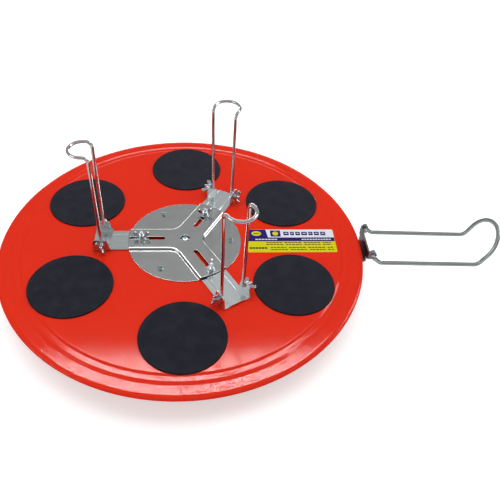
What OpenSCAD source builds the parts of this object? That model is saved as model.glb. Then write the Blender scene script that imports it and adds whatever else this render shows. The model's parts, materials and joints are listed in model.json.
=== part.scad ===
// Cable pay-off turntable: a round red deck on a ball bearing, with three
// sliding arms, three folding wire uprights and a carrying handle.
// Origin on the spinning axis at floor level, +Z up, +X towards the handle.

/* [Deck] */
// height of the deck's top face above the floor, mm
deck_z = 46; // [44:1:50]
// outer radius of the deck over its rolled bead, mm
deck_r = 230; // [226:1:236]
// thickness of the deck sheet, mm
sheet = 1.5; // [1.2:0.1:1.8]
// radius of each anti-slip pad, mm
pad_r = 49.5; // [40:0.5:50]
// distance of each pad's centre from the axis, mm
pad_ring_r = 153; // [148:1:155]
// thickness of each pad, mm
pad_t = 2; // [1:0.5:2]

/* [Label] */
// label length along the radius, mm
label_len = 116; // [90:1:118]
// label width, mm
label_w = 43; // [30:1:46]
// distance from the axis to the label's inner end, mm
label_x = 80; // [78:1:84]

/* [Centre plate] */
// radius of the round centre plate, mm
plate_r = 72; // [70:1:72]
// thickness of the centre plate sheet, mm
plate_t = 1.2; // [1:0.1:1.4]
// height of the pressed tunnels above the deck, mm
tunnel_h = 5.2; // [5:0.1:5.6]
// width of the clamp slots, mm
slot_w = 5.4; // [5.3:0.1:6]

/* [Arms] */
// width of an arm strip, mm
arm_w = 34; // [33.5:0.5:34]
// radius of the outer end of arm 1 at rest, mm
arm_end_1 = 114; // [96:0.5:126]
// radius of the outer end of arm 2 at rest, mm
arm_end_2 = 111.5; // [96:0.5:126]
// radius of the outer end of arm 3 at rest, mm
arm_end_3 = 124.5; // [96:0.5:126]
// height of the ear pivots above the deck, mm
pivot_h = 12; // [11.5:0.5:13]

/* [Uprights] */
// wire diameter of the uprights, mm
wire_d = 4; // [3.6:0.1:4]
// height of the wire loop's centre line above the deck, mm
loop_h = 139.5; // [110:0.5:160]
// how far the loop's apex stands out from the legs, mm
loop_out = 23.5; // [23:0.5:30]

/* [Handle] */
// wire diameter of the handle, mm
handle_d = 5.5; // [5:0.1:5.5]
// distance of the handle pivot from the axis, mm
handle_x = 241.5; // [241:0.5:246]
// spacing of the handle legs, mm
handle_w = 58.6; // [58.2:0.2:66]

/* [Base] */
// radius of the raised round part of the base pan, mm
pan_r = 150; // [145:1:155]
// height of the base pan above the floor at its top face, mm
pan_top = 26; // [26:0.5:27]

/* [Hidden] */
$fn = 96;

red = [0.86, 0.17, 0.1];
zinc = [0.66, 0.68, 0.68];
steel = [0.52, 0.51, 0.5];
chrome = [0.82, 0.83, 0.85];
rubber = [0.08, 0.08, 0.09];
brass = [0.75, 0.6, 0.3];

// how far a cutting shape runs past the faces it cuts
cut = 1;

// deck section
step_r = 200.5;
ring_r = 203.5;
ring_drop = 1.3;
slope_r = 209;
slope_drop = 1.4;
shoulder_r = 214;
shoulder_drop = 2.4;
rim_drop = 2.5;
slant_in = 0.4;
step_in = 0.8;
bead_r = 3;
bead_x = deck_r - bead_r;
spigot_r = 20;
spigot_gap = 0.2;
pad_step = 60;
pad_first = 30;
label_t = 0.25;

// bearing and hub
race_in = 10;
race_out = 42;
race_h = 4;
ball_r = 4;
ball_ring_r = 30;
groove_r = 4.1;
race_gap = 5.2;
ball_count = 12;
cage_t = 2;
cage_in = 24;
cage_out = 36;
pocket_r = 4.15;
ball_z = pan_top + race_h + race_gap / 2;
upper_z = pan_top + race_h + race_gap;
hub_z = upper_z + race_h;
hub_flange_r = 66;
hub_flange_t = 3;
hub_bore = 8.06;
spindle_r = 8;
spindle_head_r = 16;
spindle_head_h = 4;
spindle_top = deck_z + 0.6;
washer_r = 13;
washer_t = 1.6;
washer_bore = 2.65;
screw_bore = 2.55;
screw_shank = 2.5;
screw_head_r = 4.2;
screw_head_h = 2.7;
screw_depth = 14;
screw_recess = 1;
head_band = 0.55;
head_top = 0.62;
head_arm = 0.5;

// centre plate
tunnel_half = 18.6;
tunnel_in_half = tunnel_half - plate_t;
tunnel_step = 0.8;
tunnel_edge = 1.1;
fillet_r = 16;
slot_in = 25;
slot_out = 70;
centre_hole_r = 6;
plate_screw_ring = 58;
plate_screw_hole = 2.2;
plate_screw_r = 1.95;
plate_screw_bore = 2;
plate_screw_head_r = 3.6;
plate_screw_head_h = 2.2;
plate_screw_len = plate_t + sheet + hub_flange_t;
plate_screw_recess = 0.8;
arm_az = [180, 60, -60];
screw_az = [0, 120, 240];

// arms
arm_end = [arm_end_1, arm_end_2, arm_end_3];
stud_back = 59.5;
tail = 9;
strip_t = 1.6;
strip_lift = 0.3;
rib_half = 9.5;
rib_rise = 1.2;
rib_lap = 1;
ear_len = 22;
ear_h = 18;
ear_in = 16.6;
ear_t = 1.6;
ear_corner = 4;
ear_taper = 3;
ear_lean = 1.5;
pivot_back = 11.5;
wire_r = wire_d / 2;
ear_bore = wire_r + 0.05;
stud_r = 2.5;
stud_bore = 2.52;
stud_head_r = 5;
stud_head_h = 1.1;
stud_top = 14.5;
clamp_washer_r = 5.5;
clamp_washer_t = 1;
clamp_washer_bore = 2.65;
nut_gap = 0.05;
arm_turn = [0, -55, -37];

// wing nuts
nut_boss_r = 4.2;
nut_boss_top_r = 3.5;
nut_boss_h = 5.2;
wing_span = 10.4;
wing_h = 9.6;
wing_t = 1.7;
wing_tip_r = 2.9;
wing_root = 2.6;
wing_low = 0.8;
wing_neck = 4.4;
wing_low_turn = 24;
wing_top_turn = 32;
slot_nut_bore = stud_r + 0.05;
ear_nut_bore = wire_r + 0.05;
ear_nut_y = ear_in + ear_t + 0.1;
ear_turn = [[65, 80], [15, 84], [5, 75]];

// uprights
knuckle = 0.05;
leg_y = 14.4;
loop_r = 15.8;
bend_r = 7;
wire_end_y = 27;

// handle and bracket
handle_r = handle_d / 2;
handle_drop = -2;
jog_x = 11.2;
jog_drop = 10.1;
leg_x = 144.6;
leg_drop = 14.5;
loop_tilt = 63;
loop_straight = 18.4;
stub_y = 19;
bracket_x = 234.9;
bracket_t = 2;
web_half = 26.3;
web_top = 4;
strap_half = 20;
strap_start = 55;
strap_t = 2;
bracket_ear_top = 6.5;
bracket_ear_slope = 3;
bracket_ear_low = -8.5;
bracket_ear_x = 247;
bracket_bore = handle_r + 0.08;
rivet_x = [80, 130];
rivet_r = 3;
rivet_hole = rivet_r + 0.05;
rivet_taper = 0.6;
rivet_head_r = 5.5;
rivet_head_h = 2;

// base pan and its rubber ring
pan_t = 2;
pan_corner = 8;
pan_lap = 0.5;
spindle_gap = 0.1;
pan_side_r = pan_r + pan_corner;
skirt_low = 4;
ring_in_r = pan_side_r - 5;
ring_out_r = pan_side_r + 3;
ring_h = 12;
ring_round = 1;
ring_groove_gap = 0.05;

// ---- shared shapes ----

// one straight length of round wire between two points
module wire(a, b, r) {
  d = b - a;
  len = norm(d);
  tilt = acos(d[2] / len);
  turn = atan2(d[1], d[0]);
  translate(a) rotate([0, tilt, turn]) cylinder(h = len, r = r, $fn = 32);
}

// a pan-head screw, head seat at z = 0, with a cross recess
module pan_screw(head_r, head_h, shank_r, shank_len, recess) {
  band = head_h * head_band;
  difference() {
    union() {
      cylinder(h = band, r = head_r, $fn = 48);
      translate([0, 0, band]) cylinder(h = head_h - band, r1 = head_r, r2 = head_r * head_top, $fn = 48);
      translate([0, 0, -shank_len]) cylinder(h = shank_len, r = shank_r, $fn = 48);
    }
    for (a = [0, 90])
      rotate([0, 0, a]) translate([-head_r * head_arm, -recess / 2, head_h / 2])
        cube([2 * head_r * head_arm, recess, head_h]);
  }
}

// the outline of one wing in the radius and height plane
module wing_outline() {
  tip_x = wing_span - wing_tip_r;
  tip_z = wing_h - wing_tip_r;
  translate([tip_x, tip_z]) circle(r = wing_tip_r, $fn = 40);
  polygon([
    [wing_root, wing_low], [wing_neck, wing_low],
    [tip_x + wing_tip_r * cos(wing_low_turn), tip_z - wing_tip_r * sin(wing_low_turn)],
    [tip_x - wing_tip_r * sin(wing_top_turn), tip_z + wing_tip_r * cos(wing_top_turn)],
    [wing_root, wing_neck]
  ]);
}

// a wing nut standing on z = 0 with its wings along x
module wing_nut(bore) {
  difference() {
    union() {
      cylinder(h = nut_boss_h, r1 = nut_boss_r, r2 = nut_boss_top_r, $fn = 48);
      for (a = [0, 180])
        rotate([0, 0, a]) translate([0, wing_t / 2, 0]) rotate([90, 0, 0])
          linear_extrude(height = wing_t) wing_outline();
    }
    translate([0, 0, -cut]) cylinder(h = wing_h + 2 * cut, r = bore, $fn = 48);
  }
}

// ---- deck group ----

module deck() {
  color(red) translate([0, 0, deck_z]) difference() {
    deck_sheet();
    for (a = screw_az) rotate([0, 0, a]) translate([plate_screw_ring, 0, -sheet - cut])
      cylinder(h = sheet + 2 * cut, r = plate_screw_hole, $fn = 48);
  }
}

// the stepped deck sheet with its rolled bead, flat top at z = 0
module deck_sheet() {
  union() {
    rotate_extrude($fn = 180) polygon([
      [spigot_r + spigot_gap, 0], [step_r, 0], [ring_r, -ring_drop], [slope_r, -slope_drop],
      [shoulder_r, -shoulder_drop], [bead_x, -rim_drop], [bead_x, -rim_drop - sheet],
      [shoulder_r - slant_in, -shoulder_drop - sheet], [slope_r - slant_in, -slope_drop - sheet],
      [ring_r - step_in, -ring_drop - sheet], [step_r - step_in, -sheet], [spigot_r + spigot_gap, -sheet]
    ]);
    rotate_extrude($fn = 180) translate([bead_x, -rim_drop - bead_r]) circle(r = bead_r, $fn = 32);
  }
}

module pad(i) {
  color(rubber) rotate([0, 0, pad_first + i * pad_step]) translate([pad_ring_r, 0, deck_z])
    cylinder(h = pad_t, r = pad_r, $fn = 120);
}

module label() {
  color([0.9, 0.85, 0.2]) translate([label_x, -label_w / 2, deck_z]) cube([label_len, label_w, label_t]);
}

// three bars of half width w out to radius r, their inner corners rounded to r_in
module tri_bars(w, r, r_in) {
  corner = w / sin(60);
  far = (w + r_in) / sin(60);
  reach = (far - corner) * cos(60);
  for (a = arm_az) rotate([0, 0, a]) translate([0, -w]) square([r, 2 * w]);
  for (a = screw_az) rotate([0, 0, a]) difference() {
    polygon([
      [corner - cut, 0], [corner + reach * cos(60), reach * sin(60)],
      [far, 0], [corner + reach * cos(60), -reach * sin(60)]
    ]);
    translate([far, 0]) circle(r = r_in, $fn = 72);
  }
}

// one clamp slot along x, cut through the tunnel roof
module clamp_slot() {
  len = slot_out - slot_in - slot_w;
  for (x = [slot_in + slot_w / 2, slot_out - slot_w / 2])
    translate([x, 0, 0]) cylinder(h = tunnel_h + cut, r = slot_w / 2, $fn = 48);
  translate([slot_in + slot_w / 2, -slot_w / 2, 0]) cube([len, slot_w, tunnel_h + cut]);
}

module centre_plate() {
  low_h = tunnel_h - tunnel_edge;
  color(steel) translate([0, 0, deck_z]) difference() {
    union() {
      cylinder(h = plate_t, r = plate_r, $fn = 144);
      linear_extrude(height = low_h) intersection() {
        tri_bars(tunnel_half, plate_r + cut, fillet_r);
        circle(r = plate_r, $fn = 144);
      }
      linear_extrude(height = tunnel_h) intersection() {
        tri_bars(tunnel_half - tunnel_step, plate_r + cut, fillet_r + tunnel_step);
        circle(r = plate_r, $fn = 144);
      }
    }
    translate([0, 0, -cut]) linear_extrude(height = tunnel_h - plate_t + cut)
      tri_bars(tunnel_in_half, plate_r + 2 * cut, fillet_r + plate_t);
    for (a = arm_az) rotate([0, 0, a]) clamp_slot();
    for (a = screw_az) rotate([0, 0, a]) translate([plate_screw_ring, 0, -cut])
      cylinder(h = plate_t + 2 * cut, r = plate_screw_hole, $fn = 48);
    cylinder(h = tunnel_h + cut, r = centre_hole_r, $fn = 48);
  }
}

module plate_screw(i) {
  color(zinc) rotate([0, 0, screw_az[i]]) translate([plate_screw_ring, 0, deck_z + plate_t])
    pan_screw(plate_screw_head_r, plate_screw_head_h, plate_screw_r, plate_screw_len, plate_screw_recess);
}

module hub() {
  color(zinc) difference() {
    union() {
      translate([0, 0, hub_z]) cylinder(h = deck_z - sheet - hub_z, r = race_out);
      translate([0, 0, deck_z - sheet - hub_flange_t]) cylinder(h = hub_flange_t, r = hub_flange_r);
      translate([0, 0, hub_z]) cylinder(h = deck_z - hub_z, r = spigot_r);
    }
    translate([0, 0, hub_z - cut]) cylinder(h = deck_z - hub_z + 2 * cut, r = hub_bore);
    for (a = screw_az) rotate([0, 0, a]) translate([plate_screw_ring, 0, deck_z - sheet - hub_flange_t - cut])
      cylinder(h = hub_flange_t + 2 * cut, r = plate_screw_bore, $fn = 48);
  }
}

// a flat bearing race from z = 0 to race_h with a ball groove centred on groove_z
module race(groove_z) {
  color(zinc) rotate_extrude() difference() {
    translate([race_in, 0]) square([race_out - race_in, race_h]);
    translate([ball_ring_r, groove_z]) circle(r = groove_r, $fn = 64);
  }
}

module upper_race() {
  translate([0, 0, upper_z]) race(ball_z - upper_z);
}

module lower_race() {
  translate([0, 0, pan_top]) race(ball_z - pan_top);
}

module ball_cage() {
  color(brass) difference() {
    translate([0, 0, ball_z - cage_t / 2]) cylinder(h = cage_t, r = cage_out);
    translate([0, 0, ball_z - cage_t]) cylinder(h = 2 * cage_t, r = cage_in);
    for (i = [0 : ball_count - 1]) rotate([0, 0, i * 360 / ball_count])
      translate([ball_ring_r, 0, ball_z - cage_t]) cylinder(h = 2 * cage_t, r = pocket_r, $fn = 48);
  }
}

module balls() {
  color(chrome) for (i = [0 : ball_count - 1]) rotate([0, 0, i * 360 / ball_count])
    translate([ball_ring_r, 0, ball_z]) sphere(r = ball_r, $fn = 48);
}

// ---- base group ----

module base_pan() {
  color(red) difference() {
    translate([0, 0, skirt_low]) cylinder(h = pan_top - pan_corner - skirt_low, r = pan_side_r, $fn = 144);
    translate([0, 0, skirt_low - cut])
      cylinder(h = pan_top - pan_corner - skirt_low + 2 * cut, r = pan_side_r - pan_t, $fn = 144);
  }
  color(red) difference() {
    union() {
      translate([0, 0, pan_top - pan_t]) cylinder(h = pan_t, r = pan_r + pan_lap, $fn = 144);
      rotate_extrude($fn = 144) translate([pan_r, pan_top - pan_corner]) intersection() {
        difference() {
          circle(r = pan_corner, $fn = 64);
          circle(r = pan_corner - pan_t, $fn = 64);
        }
        square(pan_corner + cut);
      }
    }
    translate([0, 0, pan_top - pan_t - cut]) cylinder(h = pan_t + 2 * cut, r = spindle_r + spindle_gap);
    for (x = rivet_x) translate([x, 0, pan_top - pan_t - cut])
      cylinder(h = pan_t + 2 * cut, r = rivet_hole, $fn = 48);
  }
}

module foot_ring() {
  color(rubber) rotate_extrude($fn = 144) difference() {
    union() {
      translate([ring_in_r + ring_round, 0]) square([ring_out_r - ring_in_r - 2 * ring_round, ring_h]);
      translate([ring_in_r, ring_round]) square([ring_out_r - ring_in_r, ring_h - 2 * ring_round]);
      for (x = [ring_in_r + ring_round, ring_out_r - ring_round]) for (z = [ring_round, ring_h - ring_round])
        translate([x, z]) circle(r = ring_round, $fn = 32);
    }
    translate([pan_side_r - pan_t - ring_groove_gap, skirt_low - ring_groove_gap])
      square([pan_t + 2 * ring_groove_gap, ring_h]);
  }
}

module spindle() {
  head_z = pan_top - pan_t - spindle_head_h;
  color(zinc) difference() {
    union() {
      translate([0, 0, head_z]) cylinder(h = spindle_head_h, r = spindle_head_r);
      translate([0, 0, head_z]) cylinder(h = spindle_top - head_z, r = spindle_r);
    }
    translate([0, 0, spindle_top - screw_depth - 2 * cut])
      cylinder(h = screw_depth + 3 * cut, r = screw_bore, $fn = 48);
  }
}

module retaining_washer() {
  color(zinc) translate([0, 0, spindle_top]) difference() {
    cylinder(h = washer_t, r = washer_r);
    translate([0, 0, -cut]) cylinder(h = washer_t + 2 * cut, r = washer_bore, $fn = 48);
  }
}

module centre_screw() {
  color(zinc) translate([0, 0, spindle_top + washer_t])
    pan_screw(screw_head_r, screw_head_h, screw_shank, washer_t + screw_depth, screw_recess);
}

// one ear of the handle bracket, seen from its side, in the x and height plane
module bracket_ear_outline() {
  polygon([
    [bracket_x, bracket_ear_low], [handle_x, bracket_ear_low], [bracket_ear_x, handle_drop],
    [handle_x + bracket_ear_slope, bracket_ear_top - bracket_ear_slope],
    [handle_x - bracket_t / 2, bracket_ear_top], [bracket_x, bracket_ear_top - bracket_t / 2]
  ]);
  translate([handle_x, handle_drop]) circle(r = bracket_ear_x - handle_x, $fn = 64);
}

module handle_bracket() {
  strap_low = pan_top - deck_z;
  strap_len = bracket_x + bracket_t - strap_start;
  color(zinc) translate([0, 0, deck_z]) difference() {
    union() {
      translate([strap_start, -strap_half, strap_low]) cube([strap_len, 2 * strap_half, strap_t]);
      translate([bracket_x, -strap_half, strap_low]) cube([bracket_t, 2 * strap_half, web_top - strap_low]);
      translate([bracket_x, -web_half, bracket_ear_low])
        cube([bracket_t, 2 * web_half, web_top - bracket_ear_low]);
      for (s = [-1, 1]) translate([0, s * (web_half - bracket_t / 2), 0]) rotate([90, 0, 0])
        translate([0, 0, -bracket_t / 2]) linear_extrude(height = bracket_t) bracket_ear_outline();
    }
    translate([handle_x, 0, handle_drop]) rotate([90, 0, 0])
      cylinder(h = 4 * web_half, r = bracket_bore, center = true, $fn = 64);
    for (x = rivet_x) translate([x, 0, strap_low - cut])
      cylinder(h = strap_t + 2 * cut, r = rivet_hole, $fn = 48);
  }
}

module rivet(i) {
  shank = pan_t + strap_t;
  color(zinc) translate([rivet_x[i], 0, pan_top - pan_t]) {
    cylinder(h = shank, r = rivet_r, $fn = 48);
    translate([0, 0, shank])
      cylinder(h = rivet_head_h, r1 = rivet_head_r, r2 = rivet_head_r * rivet_taper, $fn = 48);
    translate([0, 0, -rivet_head_h])
      cylinder(h = rivet_head_h, r1 = rivet_head_r * rivet_taper, r2 = rivet_head_r, $fn = 48);
  }
}

// ---- arms, clamps and uprights ----

// moves children to arm i: x outward from the arm's outer end, z from the deck's top face
module on_arm(i) {
  rotate([0, 0, arm_az[i]]) translate([arm_end[i], 0, deck_z]) children();
}

// one upright ear of an arm, seen from its side, in the x and height plane
module ear_outline() {
  front = -ear_lean;
  back = ear_taper - ear_len;
  polygon([
    [-ear_len, strip_lift], [0, strip_lift], [front, ear_h - ear_corner], [front - ear_corner, ear_h],
    [back + ear_corner, ear_h], [back, ear_h - ear_corner]
  ]);
  for (x = [front - ear_corner, back + ear_corner])
    translate([x, ear_h - ear_corner]) circle(r = ear_corner, $fn = 48);
}

module arm(i) {
  len = stud_back + tail;
  edge_w = arm_w / 2 - rib_half;
  color(zinc) on_arm(i) difference() {
    union() {
      for (y = [-arm_w / 2, rib_half]) translate([-len, y, strip_lift]) cube([len, edge_w, strip_t]);
      translate([-len, -rib_half - rib_lap, strip_lift + rib_rise])
        cube([len, 2 * (rib_half + rib_lap), strip_t]);
      for (y = [-ear_in - ear_t, ear_in]) translate([0, y + ear_t, 0]) rotate([90, 0, 0])
        linear_extrude(height = ear_t) ear_outline();
    }
    translate([-stud_back, 0, 0]) cylinder(h = tunnel_h, r = stud_bore, $fn = 48);
    translate([-pivot_back, 0, pivot_h]) rotate([90, 0, 0])
      cylinder(h = 4 * ear_in, r = ear_bore, center = true, $fn = 48);
  }
}

module clamp_stud(i) {
  color(zinc) on_arm(i) translate([-stud_back, 0, strip_lift]) {
    cylinder(h = stud_head_h, r = stud_head_r, $fn = 48);
    cylinder(h = stud_top - strip_lift, r = stud_r, $fn = 48);
  }
}

module clamp_washer(i) {
  color(zinc) on_arm(i) translate([-stud_back, 0, tunnel_h]) difference() {
    cylinder(h = clamp_washer_t, r = clamp_washer_r, $fn = 64);
    translate([0, 0, -cut]) cylinder(h = clamp_washer_t + 2 * cut, r = clamp_washer_bore, $fn = 48);
  }
}

module slot_nut(i) {
  color(zinc) on_arm(i) translate([-stud_back, 0, tunnel_h + clamp_washer_t + nut_gap])
    rotate([0, 0, arm_turn[i]]) wing_nut(slot_nut_bore);
}

// side is 1 for the anticlockwise ear and -1 for the clockwise one
module ear_nut(i, side) {
  turn = ear_turn[i][side > 0 ? 0 : 1];
  color(zinc) on_arm(i) translate([-pivot_back, 0, pivot_h]) rotate([0, -turn, 0])
    rotate([-90 * side, 0, 0]) translate([0, 0, ear_nut_y]) wing_nut(ear_nut_bore);
}

// a wire upright: two legs, a little wider apart at the top, and a loop bent outwards
module upright(i) {
  top = loop_h - pivot_h;
  loop_x = loop_out - loop_r;
  color(chrome) on_arm(i) translate([-pivot_back, 0, pivot_h]) {
    for (s = [-1, 1]) {
      wire([0, s * leg_y, 0], [0, s * wire_end_y, 0], wire_r);
      translate([0, s * leg_y, 0]) sphere(r = wire_r + knuckle, $fn = 32);
      wire([0, s * leg_y, 0], [0, s * loop_r, top - bend_r], wire_r);
      translate([0, s * loop_r, top - bend_r]) sphere(r = wire_r + knuckle, $fn = 32);
      translate([bend_r, s * loop_r, top - bend_r]) rotate([90, 0, 0]) rotate([0, 0, 90])
        rotate_extrude(angle = 90, $fn = 48) translate([bend_r, 0]) circle(r = wire_r, $fn = 32);
      wire([bend_r, s * loop_r, top], [loop_x, s * loop_r, top], wire_r);
    }
    translate([loop_x, 0, top]) rotate([0, 0, -90])
      rotate_extrude(angle = 180, $fn = 96) translate([loop_r, 0]) circle(r = wire_r, $fn = 32);
  }
}

// ---- handle ----

// the turned-up end of the handle: two straight wires along x and a half circle
module handle_loop() {
  half = handle_w / 2;
  for (s = [-1, 1]) translate([0, s * half, 0]) {
    sphere(r = handle_r + knuckle, $fn = 32);
    rotate([0, 90, 0]) cylinder(h = loop_straight, r = handle_r, $fn = 32);
  }
  translate([loop_straight, 0, 0]) rotate([0, 0, -90])
    rotate_extrude(angle = 180, $fn = 96) translate([half, 0]) circle(r = handle_r, $fn = 32);
}

module handle() {
  half = handle_w / 2;
  jog = [jog_x, 0, -jog_drop];
  knee = [leg_x, 0, -leg_drop];
  color(zinc) translate([handle_x, 0, deck_z + handle_drop]) {
    for (s = [-1, 1]) {
      wire([0, s * stub_y, 0], [0, s * half, 0], handle_r);
      translate([0, s * half, 0]) {
        wire([0, 0, 0], jog, handle_r);
        wire(jog, knee, handle_r);
        for (p = [[0, 0, 0], jog]) translate(p) sphere(r = handle_r + knuckle, $fn = 32);
      }
    }
    translate(knee) rotate([0, -loop_tilt, 0]) handle_loop();
  }
}

deck();
pad(0);  // pad_1
pad(1);  // pad_2
pad(2);  // pad_3
pad(3);  // pad_4
pad(4);  // pad_5
pad(5);  // pad_6
label();
centre_plate();
plate_screw(0);  // plate_screw_1
plate_screw(1);  // plate_screw_2
plate_screw(2);  // plate_screw_3
hub();
upper_race();
ball_cage();
balls();
base_pan();
foot_ring();
lower_race();
spindle();
retaining_washer();
centre_screw();
handle_bracket();
rivet(0);  // rivet_1
rivet(1);  // rivet_2
arm(0);  // arm_1
arm(1);  // arm_2
arm(2);  // arm_3
clamp_stud(0);  // clamp_stud_1
clamp_stud(1);  // clamp_stud_2
clamp_stud(2);  // clamp_stud_3
clamp_washer(0);  // clamp_washer_1
clamp_washer(1);  // clamp_washer_2
clamp_washer(2);  // clamp_washer_3
slot_nut(0);  // slot_nut_1
slot_nut(1);  // slot_nut_2
slot_nut(2);  // slot_nut_3
upright(0);  // upright_1
upright(1);  // upright_2
upright(2);  // upright_3
ear_nut(0, 1);  // ear_nut_1a
ear_nut(0, -1);  // ear_nut_1b
ear_nut(1, 1);  // ear_nut_2a
ear_nut(1, -1);  // ear_nut_2b
ear_nut(2, 1);  // ear_nut_3a
ear_nut(2, -1);  // ear_nut_3b
handle();
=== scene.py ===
import math
import json

import bmesh
import bpy
from mathutils import Matrix, Vector

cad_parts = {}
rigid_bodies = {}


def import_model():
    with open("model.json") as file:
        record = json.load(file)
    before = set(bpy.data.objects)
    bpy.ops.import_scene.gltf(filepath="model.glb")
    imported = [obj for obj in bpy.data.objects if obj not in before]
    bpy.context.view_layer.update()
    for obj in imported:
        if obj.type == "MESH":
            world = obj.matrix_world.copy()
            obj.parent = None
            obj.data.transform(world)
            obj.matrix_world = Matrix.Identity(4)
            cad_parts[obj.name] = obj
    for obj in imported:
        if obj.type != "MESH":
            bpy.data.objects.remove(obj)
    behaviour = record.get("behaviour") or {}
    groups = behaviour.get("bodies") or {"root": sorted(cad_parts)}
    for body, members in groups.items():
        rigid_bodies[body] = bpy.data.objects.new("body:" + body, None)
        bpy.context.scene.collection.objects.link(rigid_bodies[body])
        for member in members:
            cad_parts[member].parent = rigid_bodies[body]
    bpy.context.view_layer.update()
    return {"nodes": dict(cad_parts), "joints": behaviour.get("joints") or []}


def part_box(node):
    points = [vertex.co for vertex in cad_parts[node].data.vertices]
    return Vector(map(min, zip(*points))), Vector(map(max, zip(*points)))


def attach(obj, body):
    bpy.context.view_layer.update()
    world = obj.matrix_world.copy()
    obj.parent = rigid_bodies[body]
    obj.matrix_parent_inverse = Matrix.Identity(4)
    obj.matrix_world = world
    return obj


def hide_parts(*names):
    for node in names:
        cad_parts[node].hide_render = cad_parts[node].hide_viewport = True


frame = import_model()

MM = 0.001
JOINTS = {j["name"]: j for j in frame["joints"]}
ARMS = (1, 2, 3)
PADS = (1, 2, 3, 4, 5, 6)

# ---------------------------------------------------------------- sizes, mm

DECK_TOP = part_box("deck")[1].z / MM
DECK_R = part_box("deck")[1].x / MM

# deck edge, radius and height below the flat top
DECK_HOLE_R = 20.2
STEP_R, STEP_ROUND = 200.5, 2.2
RING_R, RING_DROP = 203.5, 1.3
SLOPE_R, SLOPE_DROP = 209.0, 1.4
SHOULDER_R, SHOULDER_DROP = 214.0, 2.4
RIM_R, RIM_DROP = 223.0, 2.5
BEAD_R = 3.0
DECK_SHEET = 1.5

# centre plate
PLATE_R = 72.0
PLATE_T = 1.2
TUNNEL_H = 5.2
TUNNEL_HALF = 18.6
TUNNEL_FILLET = 16.0
FOOT_ROUND = 1.6
TOP_RUN, TOP_FALL = 3.0, 2.3
PLATE_SOFT = 0.45
SLOT_IN, SLOT_OUT, SLOT_HALF = 25.0, 70.0, 2.7
CENTRE_HOLE_R = 6.0
SCREW_RING = 58.0
SCREW_HOLE_R = 2.2
ARM_AZ = (180.0, 60.0, -60.0)
SCREW_AZ = (0.0, 120.0, 240.0)
# screws: head radius, head height, shank radius, shank length
PLATE_SCREW = (3.6, 2.2, 1.95, 5.5)
CENTRE_SCREW = (4.2, 2.7, 2.5, 14.0)

# arms, measured from their outer end
STRIP_LEN = 68.5
STRIP_HALF = 17.0
STRIP_T = 1.6
STRIP_LIFT = 0.3
RIB_HALF = 10.0
RIB_RISE = 1.2
RIB_STEP = 1.6
EAR_LEN = 22.0
EAR_H = 18.0
EAR_IN, EAR_OUT = 16.6, 18.2
EAR_CORNER = 4.0
EAR_BASE = STRIP_LIFT + 2.2
EAR_BACK_IN = 3.0
EAR_FRONT_IN = 1.5
PIVOT_BACK, PIVOT_H = 11.5, 12.0
STUD_BACK = 59.5
STUD_R, STUD_TOP = 2.5, 14.5
STUD_HEAD_R, STUD_HEAD_H, STUD_CORE_R = 5.0, 1.1, 2.4
STUD_PITCH, STUD_THREAD = 0.8, 0.28
WASHER_R, WASHER_T, WASHER_BORE = 5.5, 1.0, 2.65
WASHER_GAP = 0.02
NUT_GAP = 0.05

# wing nuts
NUT_BOSS_R, NUT_BOSS_TOP_R, NUT_BOSS_H = 4.2, 3.5, 5.2
WING_SPAN, WING_H, WING_T, WING_TIP_R = 10.4, 9.6, 1.8, 2.9
# the two lower and the two upper corners where a wing leaves the boss
WING_ROOT = [(2.75, 0.6), (4.6, 0.5)]
WING_NECK = [(4.1, 6.0), (2.75, 4.7)]
WING_TIP_ARC = (-25, 115)
NUT_PLAY = 0.1
SLOT_NUT_TURN = (0.0, -55.0, -37.0)
EAR_NUT_TURN = ((65.0, 80.0), (15.0, 84.0), (5.0, 75.0))
EAR_NUT_Y = 18.3

# uprights, measured from their pivot
WIRE_R = 2.0
LEG_Y = 14.4
LOOP_R = 15.8
WIRE_END_Y = 27.0
LOOP_TOP = 127.5
LOOP_OUT = 23.5
TOP_BEND = 7.0
PIN_BEND = 2.4
WIRE_PITCH, WIRE_THREAD = 0.7, 0.25

# handle, measured from its pivot
HANDLE_R = 2.75
HANDLE_HALF = 29.3
STUB_Y = 19.0
JOG = (11.2, -10.1)
KNEE = (144.6, -14.5)
LOOP_TILT = 63.0
LOOP_STRAIGHT = 18.4
STUB_BEND, KNEE_BEND = 2.95, 9.0

# handle bracket
WEB_X, BRACKET_T = 234.9, 2.0
WEB_HALF, WEB_LOW_HALF = 26.3, 20.0
WEB_TOP = 4.0
EAR_LOW, EAR_TOP = -8.5, 6.5
EAR_REACH = 247.0
STRAP_START = 55.0
STRAP_LOW = -20.0
WEB_LAP = 0.5


# ---------------------------------------------------------------- materials


def lin(red, green, blue):
    """Linear colour from screen values of 0 to 255."""
    out = []
    for c in (red, green, blue):
        c /= 255.0
        out.append(c / 12.92 if c <= 0.04045 else ((c + 0.055) / 1.055) ** 2.4)
    return (*out, 1.0)


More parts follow.
